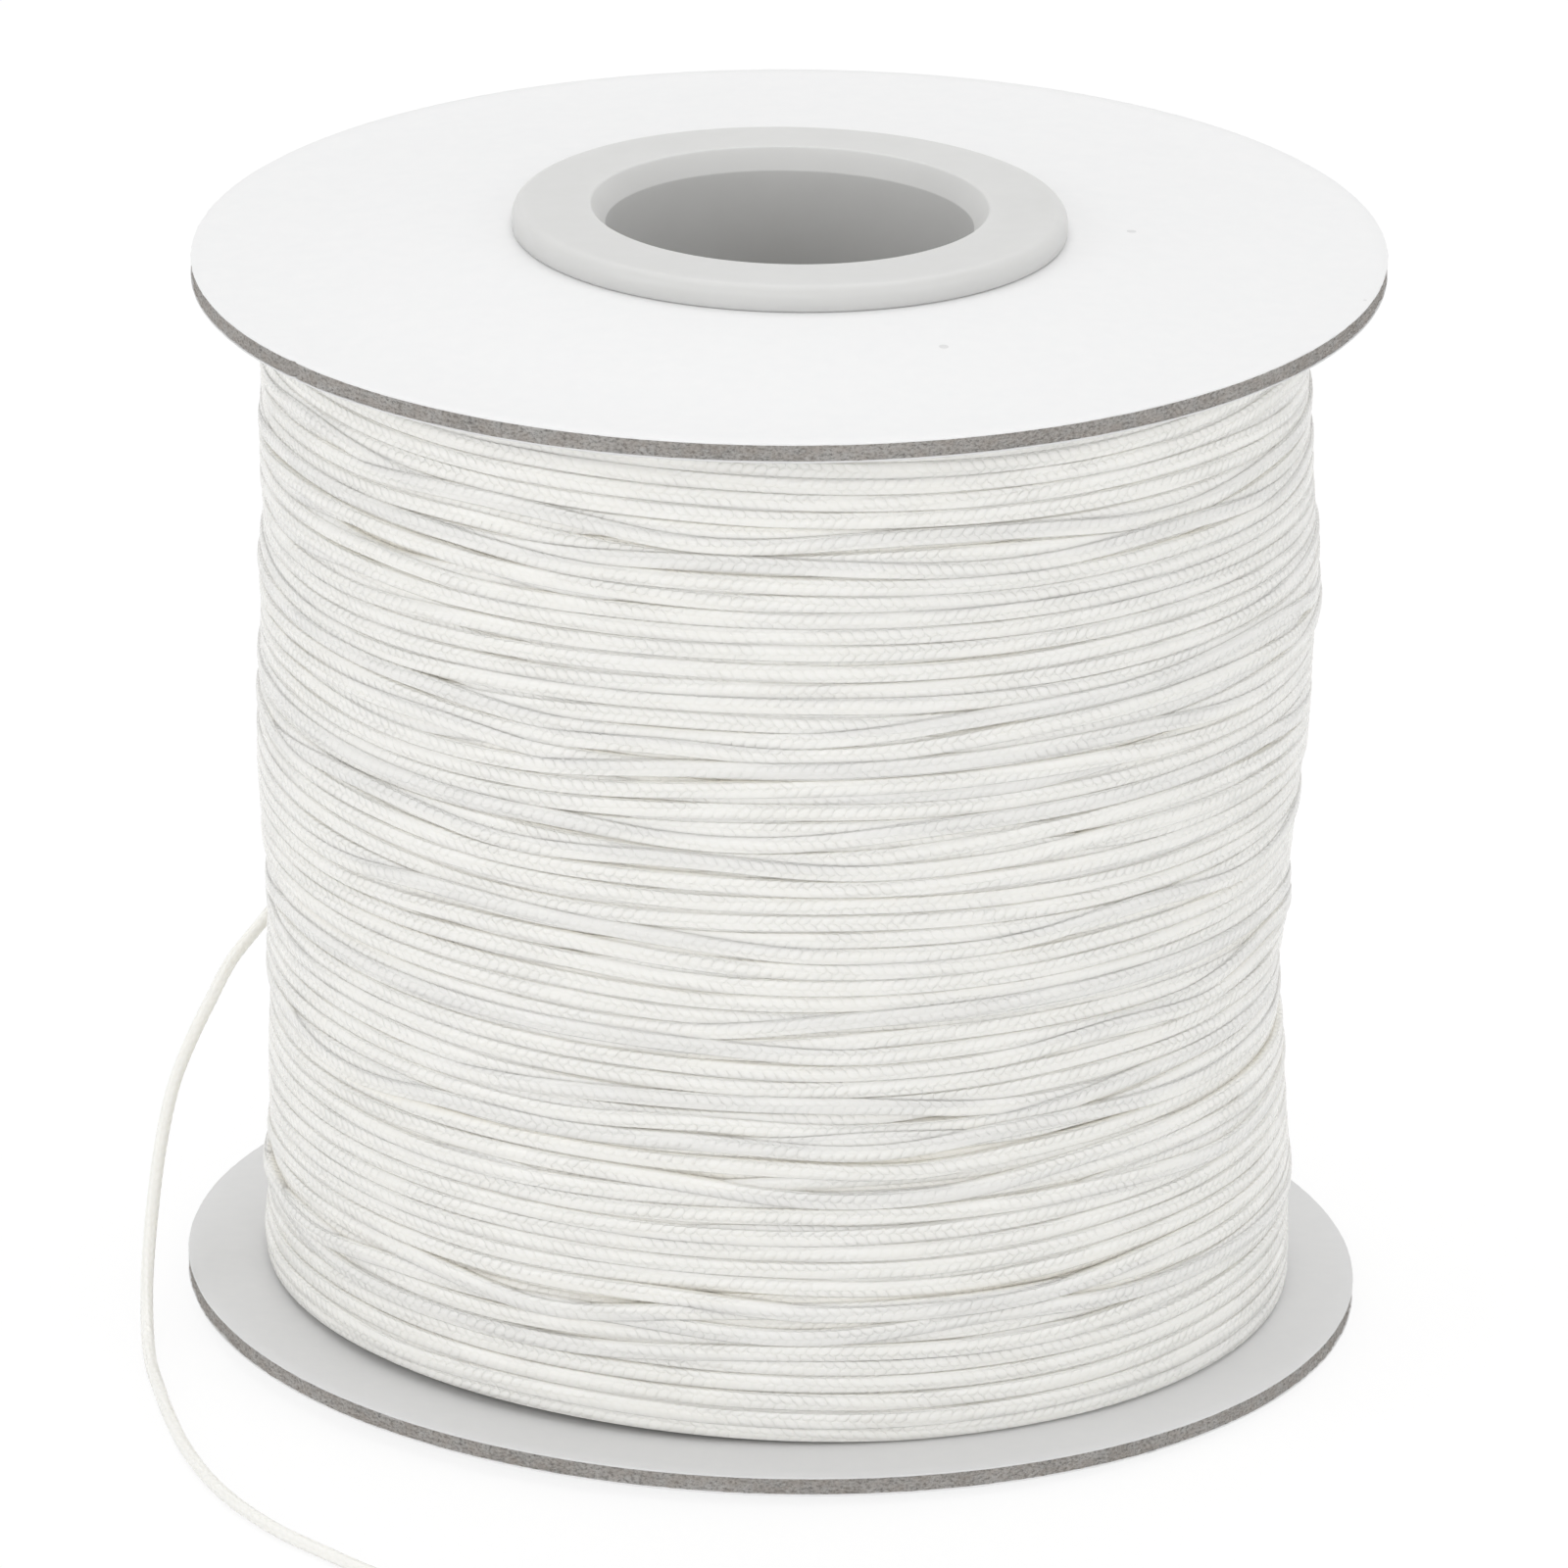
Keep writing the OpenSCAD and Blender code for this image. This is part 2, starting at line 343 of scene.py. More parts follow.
def lay_thread(base, turns, seed):
    """Lays turns of thread on a surface, one after the other, and returns each one's height and radius
    by column, with the surface that they make. A turn starts on the guide's place plus slow waves, slips
    sideways to where it lies deepest, and rests on the surface, which its tension presses in a little."""
    rng = np.random.default_rng(seed)
    offsets = np.arange(-REACH, REACH + 1)
    first = THREAD_Z0 - MARGIN * HEIGHT_STEP
    levels = first + HEIGHT_STEP * np.arange(base.shape[1])
    column = np.arange(COLUMNS)
    low, high = side_limits(COLUMN_ANGLE, OUTER_TURN_R)
    wound = np.arange(turns * COLUMNS) / COLUMNS
    guide = traverse(turns - wound)
    waves = slow_waves(rng, wound, GUIDE_WAVES)
    # The waves die down towards the flanges, where the guide turns back.
    calm = 0.25 + 0.75 * np.clip(np.minimum(guide, 1 - guide) * 30, 0, 1)
    slips = np.linspace(-SLIP_MM, SLIP_MM, 19)[:, None] * MM
    surface = base.copy()
    heights = np.empty((turns, COLUMNS))
    radii = np.empty((turns, COLUMNS))
    last = None
    for n in range(turns):
        part = slice(n * COLUMNS, (n + 1) * COLUMNS)
        aim = np.clip(low + (high - low) * guide[part] + waves[part] * calm[part], low, high)
        tried = np.clip(aim + slips, low, high)
        level = np.rint((tried - first) / HEIGHT_STEP).astype(int)
        near = level[:, :, None] + offsets
        gap = levels[near] - tried[:, :, None]
        rest = (surface[column[None, :, None], near] + turn_arch(gap)).max(2)
        cost = smooth_round(rest + SLIP_COST * slips ** 2, 4)
        place = aim + smooth_round(slips[cost.argmin(0), 0], 5)
        # Each turn sets out from where the one before it ended, and eases over to its own place.
        if last is not None:
            place = place + (last[0] - place[0]) * np.exp(-column / 10)
        place = np.clip(place, low, high)
        near = np.rint((place - first) / HEIGHT_STEP).astype(int)[:, None] + offsets
        under = surface[column[:, None], near]
        arch = turn_arch(levels[near] - place[:, None])
        need = (under + arch).max(1) - PRESSED_IN
        radius = smooth_round(need, 2)
        for _ in range(3):
            radius = smooth_round(np.maximum(radius, need), 3)
        if last is not None:
            radius = radius + (last[1] - radius[0]) * np.exp(-column / 6)
        raised = np.where(arch > 0, radius[:, None] + arch, 0)
        surface[column[:, None], near] = np.maximum(under, raised)
        heights[n] = place
        radii[n] = radius
        last = (place[-1], radius[-1])
    return heights, radii, surface, levels


def spread_up_and_down(surface, steps):
    """The highest value of a height map within so many steps up or down from each place."""
    spread = surface.copy()
    for shift in range(1, steps + 1):
        spread[:, shift:] = np.maximum(spread[:, shift:], surface[:, :-shift])
        spread[:, :-shift] = np.maximum(spread[:, :-shift], surface[:, shift:])
    return spread


def wind_outer_layers():
    """Lays the outer layers three times over. After each time, the outside that they make is measured
    against the winding's fullness, and the next time they start from a base moved by the difference."""
    turns = int(round((LAID_LAYERS + 1 - END_SHARE) * TRAVEL / TURN_PITCH))
    rows = int(round((THREAD_Z1 - THREAD_Z0) / HEIGHT_STEP)) + 2 * MARGIN + 1
    levels = THREAD_Z0 + HEIGHT_STEP * (np.arange(rows) - MARGIN)
    wanted = fullness(levels[None, :], COLUMN_ANGLE[:, None])
    across = (levels[None, :] - TURN_PITCH * np.arange(COLUMNS)[:, None] / COLUMNS) % TURN_PITCH
    ridges = turn_arch(across - TURN_PITCH / 2) - TURN_HIGH
    drop = np.full_like(wanted, 3.4 * MM)
    for _ in range(3):
        base = wanted - drop
        heights, radii, surface, levels = lay_thread(base + ridges, turns, seed=11)
        outside = spread_up_and_down(surface, 11)
        error = smooth_round(smooth_round((outside - wanted).T, 20).T, 60)
        drop = drop + error
    return heights, radii, surface, levels, base


def thread_tube(name, angle, radius, height, sides, outside=None, levels=None):
    """The wound thread as one tube. Ring i stands round the point at (angle, radius, height), in the plane
    through the axis, and its corners lie on the flattened oval. Its UV is the length of thread so far and
    the share of the way round it, and `depth` says how far each point lies below the winding's outside."""
    run = np.hypot(np.diff(angle) * radius[1:], np.diff(height))
    run = np.concatenate([[0], np.cumsum(run)])
    a = np.arange(sides) * 2 * np.pi / sides + np.pi / 2
    power = 2 / TURN_SQUARENESS
    across = TURN_WIDE * np.sign(np.cos(a)) * np.abs(np.cos(a)) ** power
    out = TURN_HIGH * np.sign(np.sin(a)) * np.abs(np.sin(a)) ** power
    r = radius[:, None] + out
    z = height[:, None] + across
    points = np.stack([r * np.cos(angle)[:, None], r * np.sin(angle)[:, None], z], axis=2)
    quads, row, corner = grid_faces(len(angle), sides)
    # The braid turns a little one way and the other as the thread runs on.
    turned = 0.12 * np.sin(run * 95) + 0.1 * np.sin(run * 41 + 2)
    uv = np.stack([run[row], corner / sides + turned[row]], axis=2)
    depth = np.full(r.shape, 2 * MM)
    if outside is not None:
        column = np.rint((angle - END_ANGLE) * COLUMNS / (2 * np.pi)).astype(int) % COLUMNS
        level = np.clip(np.rint((z - levels[0]) / HEIGHT_STEP).astype(int), 0, len(levels) - 1)
        depth = np.maximum(outside[column[:, None], level] - r, 0)
    last = len(angle) * sides
    caps = [np.arange(sides)[::-1], np.arange(last - sides, last)]
    return make_piece(name, points.reshape(-1, 3), quads, caps=caps, uv=uv, depth=depth)


def wind_thread(material):
    """The whole winding: plain turns from the tube outwards, then the laid layers. Each layer is a piece,
    and the hidden ones, which are coarser, are two pieces. Returns the thread's length in metres."""
    heights, radii, surface, levels, base = wind_outer_layers()
    turns = len(heights)
    layer_turns = TRAVEL / TURN_PITCH
    heights, radii = heights.ravel(), radii.ravel()
    # The last third of a turn eases over to where the free end starts.
    share = ease(np.arange(COLUMNS // 3) / (COLUMNS // 3 - 1))
    heights[-len(share):] += (END_Z - heights[-1]) * share
    radii[-len(share):] += (END_RADIUS - radii[-1]) * share
    wound = np.arange(turns * COLUMNS) / COLUMNS
    outside = spread_up_and_down(surface, 9)

    pieces = []
    length = 0.0
    ends = [turns] + [turns - (k - END_SHARE) * layer_turns for k in range(1, LAID_LAYERS + 1)] + [0]
    for k, (rings, sides) in enumerate(RINGS_AND_SIDES):
        count = int((ends[k] - ends[k + 1]) * rings)
        place = np.linspace(ends[k + 1], ends[k], count + 1)
        angle = END_ANGLE + 2 * np.pi * (place - turns)
        radius = np.interp(place, wound, radii)
        height = np.interp(place, wound, heights)
        length += np.hypot(np.diff(angle) * radius[1:], np.diff(height)).sum()
        name = "thread_last_layer" if k == 0 else f"thread_layer_{k}_below"
        pieces.append(thread_tube(name, angle, radius, height, sides, outside, levels))

    hidden = int(round((base.mean() - TUBE_R) / HIDDEN_LAYER))
    hidden_turns = TRAVEL / HIDDEN_PITCH
    rings, sides = HIDDEN_RINGS_AND_SIDES
    middle = hidden // 2
    for first, last, name in [(0, middle, "thread_hidden_outer"), (middle, hidden, "thread_hidden_inner")]:
        ring = np.arange(int(last * hidden_turns * rings), int(first * hidden_turns * rings) - 1, -1)
        turns_back = ring / rings
        angle = END_ANGLE - 2 * np.pi * (turns + turns_back)
        column = (-turns_back * COLUMNS).astype(int) % COLUMNS
        # The turns run up and down with each layer, and step in by a layer over the last half turn of it.
        layer = turns_back / hidden_turns
        at = np.where(layer % 2 < 1, layer % 2, 2 - layer % 2)
        layer = np.floor(layer) + ease(1 - (np.ceil(layer + 1e-9) - layer) * hidden_turns / 0.5)
        layer = np.clip(layer, 0, hidden - 1)
        low, high = side_limits(angle, HIDDEN_TURN_R)
        height = low + (high - low) * at
        level = np.rint((height - levels[0]) / HEIGHT_STEP).astype(int)
        top = base[column, level] - TURN_HIGH
        radius = top - (top - TUBE_R - TURN_HIGH) * layer / (hidden - 1)
        length += np.hypot(np.diff(angle) * radius[1:], np.diff(height)).sum()
        pieces.append(thread_tube(name, angle, radius, height, sides))
    for piece in pieces:
        finish_piece(piece, material, "waxed_thread", "thread_winding")
    return length


# --- The free end --------------------------------------------------------------------------------------

def braid_height(along, around):
    """Height of the braid, 0 to 1, at a length along the thread and a share of the way round it. Columns
    of leaning ovals stand side by side, each column half a step further on than the one before it and
    leaning the other way."""
    s = around * BRAID_COLUMNS
    odd = np.floor(s) % 2
    across = s % 1 - 0.5
    a = (along / BRAID_PITCH + 0.5 * odd + (1 - 2 * odd) * 0.45 * across) % 1 - 0.5
    return np.sqrt(np.clip(1 - 3.4 * a ** 2 - 3.0 * across ** 2, 0, 1))


def free_end(material):
    """A tube along the free end's route whose rings carry the braid's relief. It starts with the wound
    turn's flattened oval, grows round, and ends in a tip sealed by heat."""
    path = curve_through(np.array(FREE_END_MM) * MM, 0.08 * MM)
    # It lies on the table, and its way down to it is evened out over 41 steps of the path.
    path[:, 2] = np.maximum(path[:, 2], 0.5 * MM)
    path[:, 2] = np.convolve(np.pad(path[:, 2], 20, mode="edge"), np.ones(41) / 41, "valid")
    sides = 24
    along = np.gradient(path, axis=0)
    along /= np.linalg.norm(along, axis=1)[:, None]
    side = np.cross(along, [0, 0, 1.0])
    side /= np.linalg.norm(side, axis=1)[:, None]
    over = np.cross(side, along)
    run = np.concatenate([[0], np.cumsum(np.linalg.norm(np.diff(path, axis=0), axis=1))])
    a = np.arange(sides) * 2 * np.pi / sides
    relief = braid_height(run[:, None], np.arange(sides) / sides + 0.4 * np.sin(run * 60)[:, None])
    tip = np.sqrt(np.clip(1 - (1 - np.clip((run[-1] - run) / (0.5 * MM), 0, 1)) ** 2, 0.02, 1))[:, None]
    flat = 1 - ease(run / (8 * MM))[:, None]
    swell = (1 - 0.1 * (1 - relief)) * tip
    wide = (THREAD_R * (1 - flat) + TURN_HIGH * flat) * swell
    high = (THREAD_R * (1 - flat) + TURN_WIDE * flat) * swell
    points = (path[:, None] + (wide * np.cos(a))[:, :, None] * side[:, None]
              + (high * np.sin(a))[:, :, None] * over[:, None])
    quads, row, corner = grid_faces(len(path), sides)
    uv = np.stack([run[row], corner / sides + 0.4 * np.sin(run * 60)[row]], axis=2)
    last = len(path) * sides
    caps = [np.arange(sides)[::-1], np.arange(last - sides, last)]
    piece = make_piece("thread_free_end", points.reshape(-1, 3), quads, caps=caps, uv=uv,
                       depth=np.zeros(last))
    finish_piece(piece, material, "waxed_thread", "thread_tail")


# --- Material nodes ------------------------------------------------------------------------------------

def put(tree, kind, feeds=None, **settings):
    """A node of one kind with its settings, fed by name or number from sockets or plain values."""
    node = tree.nodes.new(kind)
    for name, value in settings.items():
        setattr(node, name, value)
    for name, value in (feeds or {}).items():
        if isinstance(value, bpy.types.NodeSocket):
            tree.links.new(value, node.inputs[name])
        else:
            node.inputs[name].default_value = value
    return node


def sum_up(tree, operation, *values):
    """The result socket of one sum on sockets or plain numbers."""
    return put(tree, "ShaderNodeMath", dict(enumerate(values)), operation=operation).outputs[0]


def rescale(tree, value, low, high, to_low, to_high):
    """A value carried from one range to another, and held within it."""
    feeds = {"Value": value, "From Min": low, "From Max": high, "To Min": to_low, "To Max": to_high}
    return put(tree, "ShaderNodeMapRange", feeds).outputs["Result"]


def mix_colours(tree, share, first, second):
    """The first colour, turning into the second as share goes from 0 to 1."""
    node = put(tree, "ShaderNodeMix", data_type="RGBA")
    for number, value in ((0, share), (6, first), (7, second)):
        if isinstance(value, bpy.types.NodeSocket):
            tree.links.new(value, node.inputs[number])
        else:
            node.inputs[number].default_value = value if number == 0 else (*value, 1)
    return node.outputs[2]


def noise(tree, place, scale, detail=2.0, roughness=0.5):
    """Blender's noise at a place, as a socket with values about 0.5."""
    feeds = {"Vector": place, "Scale": scale, "Detail": detail, "Roughness": roughness}
    return put(tree, "ShaderNodeTexNoise", feeds).outputs[0]


def new_group(name, inputs, outputs):
    """An empty node group with named sockets: (label, kind, value) each for the inputs, (label, kind) for
    the outputs. Returns the group and its two end nodes."""
    group = bpy.data.node_groups.new(name, "ShaderNodeTree")
    for label, kind, value in inputs:
        socket = group.interface.new_socket(label, in_out="INPUT", socket_type="NodeSocket" + kind)
        if value is not None:
            socket.default_value = value
    for label, kind in outputs:
        group.interface.new_socket(label, in_out="OUTPUT", socket_type="NodeSocket" + kind)
    return group, group.nodes.new("NodeGroupInput"), group.nodes.new("NodeGroupOutput")


def use_group(tree, group, feeds):
    """A copy of a node group in a material, fed like any node."""
    node = tree.nodes.new("ShaderNodeGroup")
    node.node_tree = group
    for name, value in feeds.items():
        if isinstance(value, bpy.types.NodeSocket):
            tree.links.new(value, node.inputs[name])
        else:
            node.inputs[name].default_value = value
    return node


def braid_group():
    """The braid's height by the same sum as braid_height, and a mask of how waxed over it is."""
    group, start, end = new_group(
        "braid", [("UV", "Vector", None), ("Pitch", "Float", BRAID_PITCH),
                  ("Columns", "Float", float(BRAID_COLUMNS))], [("Height", "Float"), ("Wax", "Float")])
    uv = put(group, "ShaderNodeSeparateXYZ", {0: start.outputs["UV"]})
    length = uv.outputs[0]
    s = sum_up(group, "MULTIPLY", uv.outputs[1], start.outputs["Columns"])
    odd = sum_up(group, "MODULO", sum_up(group, "FLOOR", sum_up(group, "ADD", s, 600.0)), 2.0)
    across = sum_up(group, "SUBTRACT", sum_up(group, "FRACT", s), 0.5)
    lean = sum_up(group, "MULTIPLY_ADD", odd, -0.9, 0.45)
    steps = sum_up(group, "DIVIDE", length, start.outputs["Pitch"])
    steps = sum_up(group, "MULTIPLY_ADD", odd, 0.5, steps)
    steps = sum_up(group, "MULTIPLY_ADD", lean, across, steps)
    a = sum_up(group, "SUBTRACT", sum_up(group, "FRACT", steps), 0.5)
    far = sum_up(group, "ADD",
                 sum_up(group, "MULTIPLY", sum_up(group, "MULTIPLY", a, a), 3.4),
                 sum_up(group, "MULTIPLY", sum_up(group, "MULTIPLY", across, across), 3.0))
    oval = sum_up(group, "SQRT", sum_up(group, "MAXIMUM", sum_up(group, "SUBTRACT", 1.0, far), 0.0))
    place = put(group, "ShaderNodeCombineXYZ", {0: sum_up(group, "MULTIPLY", length, 150.0),
                                                1: sum_up(group, "MULTIPLY", uv.outputs[1], 1.5)})
    wax = noise(group, place.outputs[0], 1.0, 3.0)
    wax = rescale(group, wax, 0.38, 0.62, 0.0, 1.0)
    group.links.new(oval, end.inputs["Height"])
    group.links.new(wax, end.inputs["Wax"])
    return group


def mottle_group():
    """Two colours mixed by soft noise, coarse and fine together."""
    group, start, end = new_group(
        "mottle", [("Vector", "Vector", None), ("Scale", "Float", 100.0), ("First", "Color", (1, 1, 1, 1)),
                   ("Second", "Color", (0, 0, 0, 1))], [("Color", "Color"), ("Share", "Float")])
    coarse = noise(group, start.outputs["Vector"], start.outputs["Scale"], 4.0, 0.6)
    share = rescale(group, coarse, 0.3, 0.7, 0.0, 1.0)
    colour = mix_colours(group, share, start.outputs["First"], start.outputs["Second"])
    group.links.new(colour, end.inputs["Color"])
    group.links.new(share, end.inputs["Share"])
    return group


def specks_group():
    """Small spots, a few of the many cells that a Voronoi pattern makes: 1 inside a spot, else 0."""
    group, start, end = new_group(
        "specks", [("Vector", "Vector", None), ("Scale", "Float", 300.0), ("Share", "Float", 0.02),
                   ("Size", "Float", 0.2)], [("Mask", "Float")])
    cells = put(group, "ShaderNodeTexVoronoi",
                {"Vector": start.outputs["Vector"], "Scale": start.outputs["Scale"]})
    pick = put(group, "ShaderNodeSeparateColor", {0: cells.outputs["Color"]})
    few = sum_up(group, "LESS_THAN", pick.outputs[0], start.outputs["Share"])
    size = sum_up(group, "MULTIPLY", start.outputs["Size"], sum_up(group, "ADD", pick.outputs[1], 0.3))
    near = sum_up(group, "LESS_THAN", cells.outputs["Distance"], size)
    group.links.new(sum_up(group, "MULTIPLY", few, near), end.inputs["Mask"])
    return group


def fibre_group():
    """Matted fibres along U: noise stretched that way, fine for their height and broad for their tint."""
    group, start, end = new_group(
        "fibres", [("UV", "Vector", None), ("Long", "Float", 700.0), ("Across", "Float", 6000.0)],
        [("Height", "Float"), ("Tint", "Float")])
    uv = put(group, "ShaderNodeSeparateXYZ", {0: start.outputs["UV"]})
    place = put(group, "ShaderNodeCombineXYZ",
                {0: sum_up(group, "MULTIPLY", uv.outputs[0], start.outputs["Long"]),
                 1: sum_up(group, "MULTIPLY", uv.outputs[1], start.outputs["Across"])})
    fine = noise(group, place.outputs[0], 1.0, 5.0, 0.7)
    broad = noise(group, place.outputs[0], 0.23, 3.0, 0.6)
    group.links.new(rescale(group, fine, 0.3, 0.7, 0.0, 1.0), end.inputs["Height"])
    group.links.new(rescale(group, broad, 0.35, 0.65, 0.0, 1.0), end.inputs["Tint"])
    return group


BRAID = braid_group()
MOTTLE = mottle_group()
SPECKS = specks_group()
FIBRES = fibre_group()


def new_material(name):
    """An empty node material with its Principled shader in place."""
    material = bpy.data.materials.new(name)
    material.use_nodes = True
    tree = material.node_tree
    return material, tree, tree.nodes["Principled BSDF"]


def bump(tree, shader, height, distance, strength=1.0):
    """Feeds a height, worth `distance` metres at 1, into the shader's normal."""
    node = put(tree, "ShaderNodeBump", {"Height": height, "Distance": distance, "Strength": strength})
    tree.links.new(node.outputs[0], shader.inputs["Normal"])


def object_place(tree):
    """Where a point of the piece lies in the reel's frame, as a socket."""
    return put(tree, "ShaderNodeTexCoord").outputs["Object"]


def thread_material(name, relief):
    """Waxed white braid: the braid's relief where the wax is thin, with painted shade between its strands,
    and a warmer, greyer painted shade where a turn lies deep between its neighbours."""
    material, tree, shader = new_material(name)
    uv = put(tree, "ShaderNodeUVMap", uv_map="along_around").outputs[0]
    braid = use_group(tree, BRAID, {"UV": uv})
    depth = put(tree, "ShaderNodeAttribute", attribute_name="depth").outputs["Fac"]
    deep = rescale(tree, depth, 0.15 * MM, 0.7 * MM, 0.0, 1.0)
    mottle = use_group(tree, MOTTLE, {"Vector": object_place(tree), "Scale": 260.0,
                                      "First": (0.955, 0.942, 0.90, 1), "Second": (0.935, 0.921, 0.877, 1)})
    # Painted shade: the braid's crevices, where its height is low, are mixed towards a darker grey.
    crevice = sum_up(tree, "SUBTRACT", 1.0, braid.outputs["Height"])
    shaded = sum_up(tree, "MULTIPLY", crevice, 0.13)
    colour = mix_colours(tree, shaded, mottle.outputs["Color"], (0.77, 0.755, 0.71))
    # Painted shade: places that lie deep below the winding's outside are mixed towards a warmer grey.
    deep_shaded = mix_colours(tree, sum_up(tree, "MULTIPLY", deep, 0.4), colour, (0.90, 0.85, 0.74))
    tree.links.new(deep_shaded, shader.inputs["Base Color"])
    tree.links.new(rescale(tree, braid.outputs["Wax"], 0.0, 1.0, 0.23, 0.33), shader.inputs["Roughness"])
    shader.inputs["Specular IOR Level"].default_value = 0.5
    shader.inputs["Subsurface Weight"].default_value = 0.5
    shader.inputs["Subsurface Radius"].default_value = (1.0, 0.98, 0.95)
    shader.inputs["Subsurface Scale"].default_value = 0.4 * MM
    wax_height = sum_up(tree, "MULTIPLY", braid.outputs["Height"],
                        rescale(tree, braid.outputs["Wax"], 0.0, 1.0, 0.12, 1.0))
    bump(tree, shader, wax_height, relief)
    return material


def paper_material(name, white):
    """Smooth white paper with a barely seen tooth and a few grey specks of recycled fibre."""
    material, tree, shader = new_material(name)
    place = object_place(tree)
    mottle = use_group(tree, MOTTLE, {"Vector": place, "Scale": 900.0,
                                      "First": (white, white, white, 1),
                                      "Second": (0.985 * white, 0.987 * white, 0.99 * white, 1)})
    specks = use_group(tree, SPECKS, {"Vector": place, "Scale": 420.0, "Share": 0.012, "Size": 0.16})
    spotted = sum_up(tree, "MULTIPLY", specks.outputs["Mask"], 0.25)
    colour = mix_colours(tree, spotted, mottle.outputs["Color"], (0.3, 0.3, 0.3))
    tree.links.new(colour, shader.inputs["Base Color"])
    tree.links.new(rescale(tree, mottle.outputs["Share"], 0, 1, 0.5, 0.62), shader.inputs["Roughness"])
    shader.inputs["Specular IOR Level"].default_value = 0.35
    bump(tree, shader, noise(tree, place, 1800.0, 4.0, 0.6), 0.012 * MM)
    return material


def board_material():
    """The cut edge of grey chipboard: matted fibres in warm and cool greys, paler where the fibre relief
    stands high, with painted shade where it lies low.
    """
    material, tree, shader = new_material("grey_board")
    uv = put(tree, "ShaderNodeUVMap", uv_map="along_around").outputs[0]
    fibres = use_group(tree, FIBRES, {"UV": uv, "Long": 3600.0, "Across": 5600.0})
    mottle = use_group(tree, MOTTLE, {"Vector": object_place(tree), "Scale": 420.0,
                                      "First": (0.82, 0.798, 0.772, 1), "Second": (0.58, 0.56, 0.537, 1)})
    high = rescale(tree, fibres.outputs["Height"], 0.5, 0.85, 0.0, 0.9)
    # Painted shade: where the fibre relief lies low, the colour goes towards a dark grey.
    low = rescale(tree, fibres.outputs["Height"], 0.1, 0.5, 0.9, 0.0)
    pale = mix_colours(tree, high, mottle.outputs["Color"], (0.86, 0.845, 0.82))
    hollow_shaded = mix_colours(tree, low, pale, (0.22, 0.205, 0.19))
    tint = sum_up(tree, "MULTIPLY", fibres.outputs["Tint"], 0.4)
    warm = mix_colours(tree, tint, hollow_shaded, (0.60, 0.51, 0.44))
    tree.links.new(warm, shader.inputs["Base Color"])
    shader.inputs["Roughness"].default_value = 0.9
    shader.inputs["Specular IOR Level"].default_value = 0.2
    bump(tree, shader, fibres.outputs["Height"], 0.22 * MM)
    return material


def plastic_material():
    """Pale moulded plastic that lets a little light in, with the faint unevenness of its mould."""
    material, tree, shader = new_material("hub_plastic")
    place = object_place(tree)
    mottle = use_group(tree, MOTTLE, {"Vector": place, "Scale": 120.0,
                                      "First": (0.67, 0.67, 0.66, 1), "Second": (0.645, 0.645, 0.635, 1)})
    tree.links.new(mottle.outputs["Color"], shader.inputs["Base Color"])
    gloss = rescale(tree, noise(tree, place, 700.0, 3.0), 0.3, 0.7, 0.36, 0.46)
    tree.links.new(gloss, shader.inputs["Roughness"])
    shader.inputs["Subsurface Weight"].default_value = 0.3
    shader.inputs["Subsurface Radius"].default_value = (1.0, 1.0, 0.95)
    shader.inputs["Subsurface Scale"].default_value = 1.8 * MM
    bump(tree, shader, noise(tree, place, 500.0, 2.0), 0.015 * MM)
    return material


def tube_material():
    """Brown-grey tube board, mottled and dull."""
    material, tree, shader = new_material("tube_board")
    place = object_place(tree)
    mottle = use_group(tree, MOTTLE, {"Vector": place, "Scale": 350.0,
                                      "First": (0.42, 0.35, 0.26, 1), "Second": (0.31, 0.25, 0.18, 1)})
    tree.links.new(mottle.outputs["Color"], shader.inputs["Base Color"])
    shader.inputs["Roughness"].default_value = 0.85
    shader.inputs["Specular IOR Level"].default_value = 0.25
    bump(tree, shader, noise(tree, place, 1500.0, 4.0, 0.7), 0.04 * MM)
    return material


def tape_material():
    """Creped paper tape: fine creases and a soft change of tone."""
    material, tree, shader = new_material("tape")
    place = object_place(tree)
    mottle = use_group(tree, MOTTLE, {"Vector": place, "Scale": 200.0,
                                      "First": (0.74, 0.68, 0.54, 1), "Second": (0.66, 0.60, 0.46, 1)})
    tree.links.new(mottle.outputs["Color"], shader.inputs["Base Color"])
    shader.inputs["Roughness"].default_value = 0.7
    bump(tree, shader, noise(tree, place, 1400.0, 3.0), 0.03 * MM)
    return material


# --- Flanges, bushes and tube --------------------------------------------------------------------------

def edge_relief(rng, rows, edge_rows, depth, chip):
    """How far each point of a cut card edge stands in from its outline: soft noise on the rows of the edge
    and nothing elsewhere. A chip as deep as `chip` lies at one place."""
    shares = np.zeros(rows)
    shares[edge_rows] = 1

    def relief(angle):
        rough = (0.6 * soft_noise(rng, rows, angle.size, 0.8, 1.2)
                 + 0.4 * soft_noise(rng, rows, angle.size, 1.5, 6))
        away = (angle - CHIP_ANGLE) * FLANGE_R
        into = depth * np.clip(0.9 + 0.6 * rough, 0, 2.6) + chip * np.exp(-(away / (0.25 * MM)) ** 2)
        into = -into * shares[:, None]
        return into, np.zeros_like(into)
    return relief


